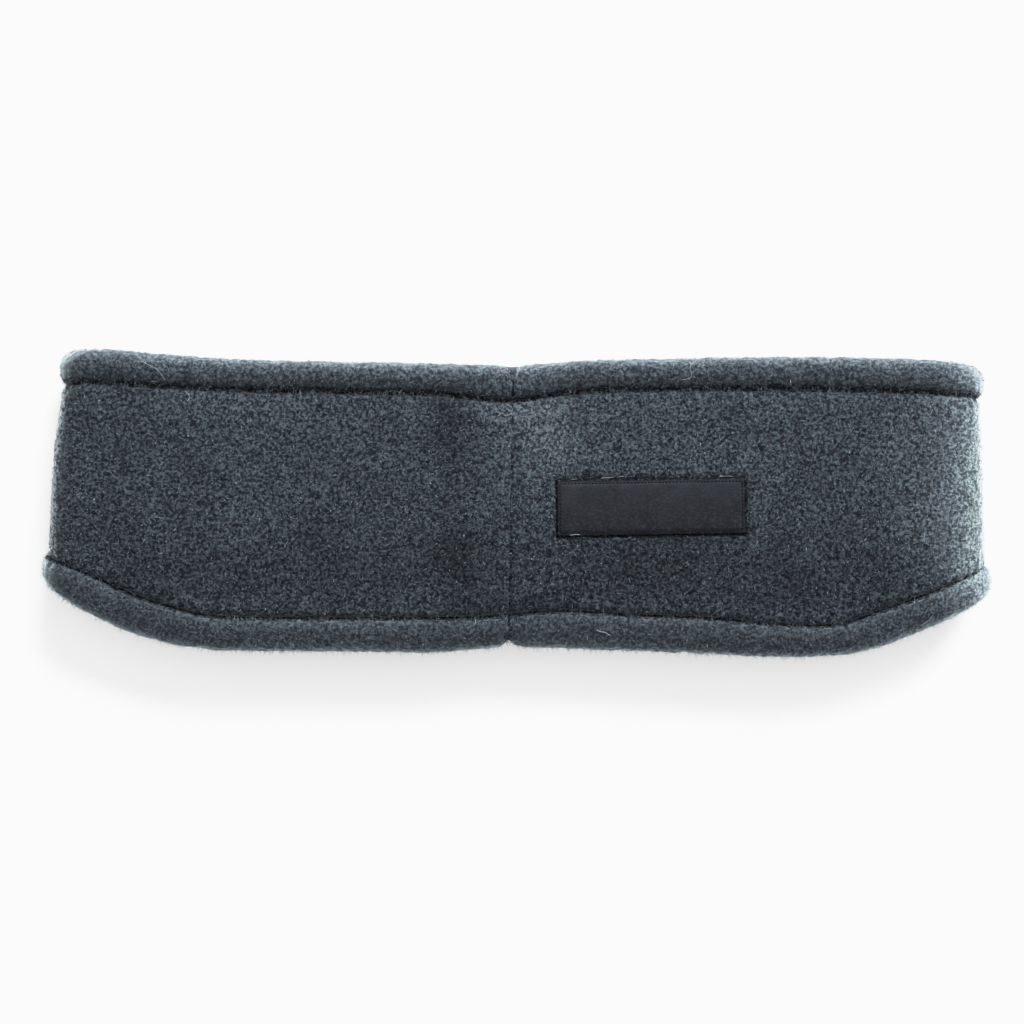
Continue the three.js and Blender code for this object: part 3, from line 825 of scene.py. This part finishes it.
def pile_on(name, piece, count, keep, seed, lean, length, width, shares):
    """Short fibres that lean every way out of a piece of fleece, joined in one mesh."""
    random = np.random.default_rng(seed)
    roots, out = scattered(piece, count, keep, random)
    lean = np.radians(random.uniform(*lean, count))[:, None]
    turn = random.uniform(0, 2 * math.pi, count)[:, None]
    side = unit(np.cross(out, [0.31, 0.77, 0.56]))
    over = side * np.cos(turn) + np.cross(out, side) * np.sin(turn)
    along = out * np.cos(lean) + over * np.sin(lean)
    across = unit(np.cross(along, out))
    thick = random.uniform(*width, count) * MM
    sizes = (thick, thick, random.uniform(*length, count) * MM)
    shades = random.choice(len(shares), count, p=shares)
    axes = (across, np.cross(along, across), along)
    return joined_copies(name, FIBRE, roots - out * FIBRE_ROOT, axes, sizes, PILE_SHADES, shades)


# The share of the pile that is kept inside the loop, and how high the fuzz starts
INSIDE_PILE = 0.06
FUZZ_LEVEL = 2.5 * MM
# Where the pile stands round the label: how far outside its edge, and how far under it
ROUND_LABEL = (0.8 * MM, 0.1 * MM)
# How far the tuft at the seam's end reaches to each side and down
SEAM_END_REACH = 1.1 * MM
SEAM_END_DEPTH = 0.8 * MM
FACES_EDGE = 0.3


def outer_face(points, normals):
    """1 on the loop's outer side, where the pile shows, and little inside it."""
    outward = normals[:, 2] * np.sign(points[:, 2] - FOLD_LEVEL)
    far = np.abs(points[:, 0]) - HALF_WIDTH + 1.6 * FOLD_RADIUS
    return np.where((outward > -0.1) | (far > 0), 1.0, INSIDE_PILE)


def rims(points, normals):
    """Most on the loop's turned edges and folds, where the fuzz stands off it."""
    edge = (1 - np.abs(normals[:, 2])) ** 3
    return np.where(outer_face(points, normals) > INSIDE_PILE, edge, 0) * (points[:, 2] > FUZZ_LEVEL)


def beside_label(points, normals):
    """1 on the fleece just outside the label's edge."""
    inset = inside_label(points[:, 0], points[:, 1])
    outside, under = ROUND_LABEL
    on_back = (normals[:, 2] > FACES_UP) & (points[:, 2] > FOLD_LEVEL)
    return ((inset < under) & (inset > -outside) & on_back) * 1.0


def seam_end(points, normals):
    """1 where the seam's under layer shows at the top edge."""
    beside = np.abs(points[:, 0] - seam_x(points[:, 1])) < SEAM_END_REACH
    on_rim = points[:, 1] > plain_top(0.0) - SEAM_NOTCH - SEAM_END_DEPTH
    on_rim &= normals[:, 1] > FACES_EDGE
    return (beside & on_rim & (points[:, 2] > FOLD_LEVEL)) * 1.0


# Each pile's lean in degrees, fibre length and width in millimetres, and shares of the four shades
BODY_PILE = ((25, 78), (0.6, 1.3), (0.1, 0.2), (0.38, 0.41, 0.2, 0.01))
HEM_PILE = ((25, 78), (0.6, 1.3), (0.08, 0.18), (0.25, 0.6, 0.15, 0))
# The fuzz on the rims and folds takes mostly the pale and fuzz shades, a painted highlight for the lit fuzz at
# the edges
RIM_FUZZ = ((5, 65), (0.8, 2.3), (0.05, 0.11), (0, 0.1, 0.45, 0.45))
FOLD_FUZZ = ((20, 75), (0.5, 1.1), (0.06, 0.12), (0, 0.45, 0.45, 0.1))
SEAM_END_PILE = ((0, 40), (0.8, 1.7), (0.08, 0.15), (0.15, 0.6, 0.25, 0))
LABEL_PILE = ((35, 80), (0.9, 1.9), (0.1, 0.2), (0.6, 0.3, 0.1, 0))

pile = [
    pile_on("band_pile", band, 49500, outer_face, 11, *BODY_PILE),
    pile_on("top_hem_pile", top_hem, 20000, outer_face, 12, *HEM_PILE),
    pile_on("bottom_hem_pile", bottom_hem, 20000, outer_face, 13, *HEM_PILE),
    pile_on("band_fuzz", band, 3500, rims, 14, *FOLD_FUZZ),
    pile_on("top_hem_fuzz", top_hem, 21000, rims, 15, *RIM_FUZZ),
    pile_on("bottom_hem_fuzz", bottom_hem, 13000, rims, 16, *RIM_FUZZ),
    pile_on("label_edge_pile", band, 1500, beside_label, 17, *LABEL_PILE),
    pile_on("seam_end_pile", top_hem, 300, seam_end, 18, *SEAM_END_PILE),
]


# Stitches

THREAD_THICK = 0.5 * MM
HEM_STITCH = 2.5 * MM
HEM_STITCH_INSET = 0.1 * MM
HEM_STITCH_DEPTH = 1.75 * MM
STITCH_BOW = 1.1
THREAD_TONES = ((0.0006, 0.0008, 0.0012, 1), (0.0035, 0.0042, 0.0055, 1))
LABEL_STITCH_PITCH = 1.0 * MM
LABEL_STITCH = 0.75 * MM
LABEL_THREAD = 0.5 * MM


def thread_material():
    """Dark spun thread with the glint of its twisted plies."""
    made = Recipe("thread", Roughness=0.6, Specular_IOR_Level=0.04)
    ply = made.noise(0.4 * MM, detail=1.0, twist=0.6)
    made.colour(made.blend(ply.between(0.35, 0.65), *THREAD_TONES))
    made.bump(ply, 0.1 * MM, 0.5)
    return made.material


bpy.ops.object.select_all(action="DESELECT")
bpy.ops.mesh.primitive_uv_sphere_add(segments=8, ring_count=8, radius=0.5, rotation=(0, math.pi / 2, 0))
STITCH = template_of(bpy.context.object)
STITCH[0][:, 2] -= STITCH_BOW * STITCH[0][:, 0] ** 2
THREAD = thread_material()


def hem_stitches(name, line, inset):
    """Stitches end to end round the loop along a hem's stitch line."""
    marks = []
    for side in (1, -1):
        whole = 2 * float(quarter_length(side))
        ways = np.arange(0.5, whole / STITCH_PITCH - 0.25) * STITCH_PITCH
        marks.append(side * ways / float(quarter_length(side)))
    at = np.concatenate(marks)
    reach = 0.3 * STITCH_PITCH / quarter_length(at)
    start, end = (place(at + k * reach, line(at + k * reach) + inset, HEM_STITCH_DEPTH) for k in (-1, 1))
    above = place(at, line(at) + inset, HEM_STITCH_DEPTH - MM)
    along = unit(end - start)
    middle = (start + end) / 2
    out = above - middle
    across = unit(np.cross(out, along))
    ones = np.ones(len(at))
    sizes = (ones * HEM_STITCH, ones * THREAD_THICK, ones * THREAD_THICK)
    return joined_copies(name, STITCH, middle, (along, across, np.cross(along, across)), sizes, [THREAD])


top_stitches = hem_stitches("top_hem_stitches", top_line, HEM_STITCH_INSET)
bottom_stitches = hem_stitches("bottom_hem_stitches", bottom_line, -HEM_STITCH_INSET)


# Label

def label_points(u, v, height):
    """Points of the label's plane, from its middle along it and across it, at a height over the fleece."""
    x = LABEL_MIDDLE[0] + u * math.cos(LABEL_TILT) - v * math.sin(LABEL_TILT)
    y = LABEL_MIDDLE[1] + u * math.sin(LABEL_TILT) + v * math.cos(LABEL_TILT)
    return place(at_of(x, y), y, -height)


LABEL_EDGE = 0.42 * MM
LABEL_TOP = FIT_GAP + LABEL_THICKNESS - 0.55 * MM
LABEL_GRID = (150, 45)
# The turned rim's drop and reach, the stitch line's dip and reach, and the soft swells' height and size
RIM_DROP, RIM_REACH = 0.5 * MM, 0.7 * MM
STITCH_DIP, STITCH_REACH = 0.2 * MM, 0.3 * MM
SWELL, SWELL_SIZE = 0.14 * MM, 5 * MM
EDGE_WANDER, EDGE_WANDER_SIZE = 0.12 * MM, 2.2 * MM
LABEL_STITCH_SINK = 0.27 * MM
# Painted light on the label: its brightness at its middle, and how much it grows from its lower edge to its
# upper edge
LABEL_LIT, LABEL_LIT_RISE = 0.78, 0.5


def label_piece():
    """The folded satin label, laid over the back's pile, with its stitched border pressed in."""
    bpy.ops.object.select_all(action="DESELECT")
    columns, rows = LABEL_GRID
    bpy.ops.mesh.primitive_grid_add(x_subdivisions=columns, y_subdivisions=rows, size=1, calc_uvs=False)
    label = bpy.context.object
    label.name = label.data.name = "label_satin"
    flat = points_of(label)
    u, v = flat[:, 0] * LABEL_LENGTH, flat[:, 1] * LABEL_WIDTH
    inset = np.minimum(LABEL_LENGTH / 2 - np.abs(u), LABEL_WIDTH / 2 - np.abs(v))
    spots = np.stack([u, v, u * 0], -1)
    wander = EDGE_WANDER * lumps(spots, EDGE_WANDER_SIZE, 22)
    rim = RIM_DROP * np.exp(-(inset + wander) / RIM_REACH)
    stitched = STITCH_DIP * np.exp(-(((inset - LABEL_STITCH_INSET) / STITCH_REACH) ** 2))
    swell = SWELL * lumps(spots, SWELL_SIZE, 21)
    u, v = u + wander * np.exp(-inset / MM), v + wander * np.exp(-inset / MM)
    move_to(label, label_points(u, v, LABEL_TOP + swell - rim - stitched))
    # Painted light: the label grows lighter towards its upper edge, carried in the border attribute with its
    # edge
    lit = LABEL_LIT + LABEL_LIT_RISE * flat[:, 1]
    lit = lit * smooth((inset + wander - LABEL_EDGE) / STITCH_REACH)
    label.data.attributes.new("border", "FLOAT", "POINT").data.foreach_set("value", lit.astype(np.float32))
    label.data.materials.append(label_material())
    solid = label.modifiers.new("cloth", "SOLIDIFY")
    solid.thickness = 0.7 * LABEL_THICKNESS
    solid.offset = -1
    only(label)
    bpy.ops.object.modifier_apply(modifier=solid.name)
    bpy.ops.object.shade_smooth()
    return label


def label_stitches():
    """Short stitches all round the label, just inside its edge."""
    half_u, half_v = LABEL_LENGTH / 2 - LABEL_STITCH_INSET, LABEL_WIDTH / 2 - LABEL_STITCH_INSET
    random = np.random.default_rng(31)
    places = []
    for u0, v0, u1, v1 in ((-half_u, half_v, half_u, half_v), (half_u, half_v, half_u, -half_v),
                           (half_u, -half_v, -half_u, -half_v), (-half_u, -half_v, -half_u, half_v)):
        count = round(math.hypot(u1 - u0, v1 - v0) / LABEL_STITCH_PITCH)
        share = (np.arange(count) + 0.5) / count
        turn = np.full(count, math.atan2(v1 - v0, u1 - u0))
        places.append(np.stack([mix(u0, u1, share), mix(v0, v1, share), turn], -1))
    u, v, turn = np.concatenate(places).T
    turn = turn + random.normal(0, 0.06, len(turn))
    height = LABEL_TOP - LABEL_STITCH_SINK
    middle = label_points(u, v, height)
    step = 0.3 * LABEL_STITCH_PITCH
    along = unit(label_points(u + step * np.cos(turn), v + step * np.sin(turn), height) - middle)
    across = unit(np.cross(label_points(u, v, height + MM) - middle, along))
    long = LABEL_STITCH * random.uniform(0.9, 1.1, len(u))
    thick = LABEL_THREAD * random.uniform(0.9, 1.1, len(u))
    return joined_copies("label_stitches", STITCH, middle, (along, across, np.cross(along, across)),
                         (long, thick, thick), [THREAD])


label = label_piece()
border = label_stitches()


# Lint: a few stray pale fibres that lie on the pile, each by its radius in millimetres and the pixels of the
# photograph that it runs through

PHOTO_SIDE = 1024
MM_PER_PIXEL = 0.2866
PHOTO_ORIGIN = (516, 503)
LINT_STRANDS = (
    ("hair", 0.04, ((144, 362), (149, 365), (155, 367), (161, 371), (165, 376), (168, 381))),
    ("curl", 0.04, ((680.5, 381), (685, 380.5), (690, 379), (690.5, 375), (688, 370), (688.5, 367),
                    (691, 364.5), (695, 361))),
    ("ring", 0.03, ((503, 409), (507, 405), (512, 407), (513, 412), (509, 417), (504, 416), (502, 413),
                    (498, 417))),
    ("ringlet", 0.025, ((520, 418), (526, 416), (530, 420), (527, 425), (521, 424), (523, 419))),
    ("wisp", 0.04, ((917, 625), (920, 623), (923.5, 621), (927, 618.5), (928.5, 615))),
    ("fleck", 0.06, ((474, 616), (477, 620), (475, 624))),
    ("snip", 0.06, ((596, 629), (600, 632), (605, 630), (608, 634))),
    ("loop", 0.045, ((187, 392), (192, 394), (194, 399), (190, 402))),
    ("thread", 0.05, ((570, 535), (574, 534), (579, 534.5))),
    ("end", 0.04, ((600, 478.6), (606, 477.6), (613, 477.7))),
    ("stub", 0.035, ((618, 477.2), (623, 476.6))),
    ("tail", 0.035, ((718, 476.6), (725, 476.2), (731, 476.8))),
    ("nib", 0.035, ((571, 479.8), (577, 479.2))),
)
LOOSE_END = 2.5 * MM
LINT_HEIGHT = 0.65 * MM


def tree_of(piece):
    mesh = piece.data
    return BVHTree.FromPolygons([v.co for v in mesh.vertices], [p.vertices[:] for p in mesh.polygons])


def lint_piece():
    """The strands, each laid on what is under its pixels, in one mesh."""
    trees = [tree_of(cloth) for cloth in (band, top_hem, bottom_hem, label)]
    strands = []
    for name, radius, pixels in LINT_STRANDS:
        curve = bpy.data.curves.new(name, "CURVE")
        curve.dimensions = "3D"
        curve.bevel_depth = radius * MM
        curve.bevel_resolution = 1
        curve.resolution_u = 6
        curve.use_fill_caps = True
        spline = curve.splines.new("NURBS")
        spline.points.add(len(pixels) - 1)
        spline.use_endpoint_u = True
        for point, (px, py) in zip(spline.points, pixels):
            x = (px - PHOTO_ORIGIN[0]) * MM_PER_PIXEL * MM
            y = (PHOTO_ORIGIN[1] - py) * MM_PER_PIXEL * MM
            hits = [tree.ray_cast(Vector((x, y, 0.1)), Vector((0, 0, -1)))[0] for tree in trees]
            top = max((hit.z for hit in hits if hit), default=LOOSE_END)
            point.co = (x, y, top + LINT_HEIGHT, 1)
        strand = bpy.data.objects.new(name, curve)
        bpy.context.scene.collection.objects.link(strand)
        strands.append(strand)
    bpy.ops.object.select_all(action="DESELECT")
    for strand in strands:
        strand.select_set(True)
    bpy.context.view_layer.objects.active = strands[0]
    bpy.ops.object.convert(target="MESH")
    bpy.ops.object.join()
    lint = bpy.context.object
    lint.name = lint.data.name = "lint"
    lint.data.materials.clear()
    lint.data.materials.append(fibre_material("lint_pale", (0.16, 0.18, 0.195, 1)))
    return lint


lint = lint_piece()

for piece in (band, top_hem, bottom_hem, label, border, top_stitches, bottom_stitches, lint, *pile):
    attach(piece, "root")
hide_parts("fleece_band")
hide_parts("top_hem")
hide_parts("bottom_hem")
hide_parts("woven_label")

# The cloth between the stitch lines, opened out flat
cloth_at = np.linspace(-2, 2, 801)
cloth_heights = top_line(cloth_at) - bottom_line(cloth_at)
cloth_length = 2 * float(quarter_length(1.0) + quarter_length(-1.0)) + 2 * SEAM_ALLOWANCE


# Table, light and camera

def floor_piece():
    bpy.ops.object.select_all(action="DESELECT")
    bpy.ops.mesh.primitive_plane_add(size=6)
    table = bpy.context.object
    table.name = "table"
    made = Recipe("table_white", Base_Color=(0.9, 0.9, 0.9, 1), Roughness=0.8)
    table.data.materials.append(made.material)


def soft_light(name, place, size, power):
    light = bpy.data.lights.new(name, "AREA")
    light.shape = "RECTANGLE"
    light.size, light.size_y = size
    light.energy = power
    lamp = bpy.data.objects.new(name, light)
    bpy.context.scene.collection.objects.link(lamp)
    lamp.location = place
    lamp.rotation_euler = (-Vector(place)).to_track_quat("-Z", "Y").to_euler()


PHOTO_CENTRE = (-1.15 * MM, -2.58 * MM)
LENS = 120
SENSOR = 36
EYE_LEVEL = 0.011
WINDOW_AT = (0.75, 1.85, 0.95)
WINDOW_SIZE = (1.7, 1.6)
WINDOW_POWER = 145
ROOM_LIGHT = 0.72
# The photograph's exposure: how bright a tone is shown for the light that comes from it
FILM_CURVE = ((0.1, 0.2), (0.22, 0.46), (0.4, 0.76), (0.6, 0.88), (0.8, 0.94), (1, 0.965))

floor_piece()
soft_light("window", WINDOW_AT, WINDOW_SIZE, WINDOW_POWER)
world = bpy.data.worlds.new("studio")
world.use_nodes = True
world.node_tree.nodes["Background"].inputs["Color"].default_value = (1, 1, 1, 1)
world.node_tree.nodes["Background"].inputs["Strength"].default_value = ROOM_LIGHT
bpy.context.scene.world = world
view = bpy.context.scene.view_settings
view.view_transform = "Standard"
view.use_curve_mapping = True
view.curve_mapping.extend = "HORIZONTAL"
film = view.curve_mapping.curves[3]
film.points[-1].location = FILM_CURVE[-1]
for light_in, shown in FILM_CURVE[:-1]:
    film.points.new(light_in, shown)
view.curve_mapping.update()

lens = bpy.data.cameras.new("camera")
lens.lens, lens.sensor_width = LENS, SENSOR
lens.clip_start, lens.clip_end = 0.05, 20
camera = bpy.data.objects.new("camera", lens)
bpy.context.scene.collection.objects.link(camera)
camera.location = (*PHOTO_CENTRE, EYE_LEVEL + PHOTO_SIDE * MM_PER_PIXEL * MM * LENS / SENSOR)
bpy.context.scene.camera = camera
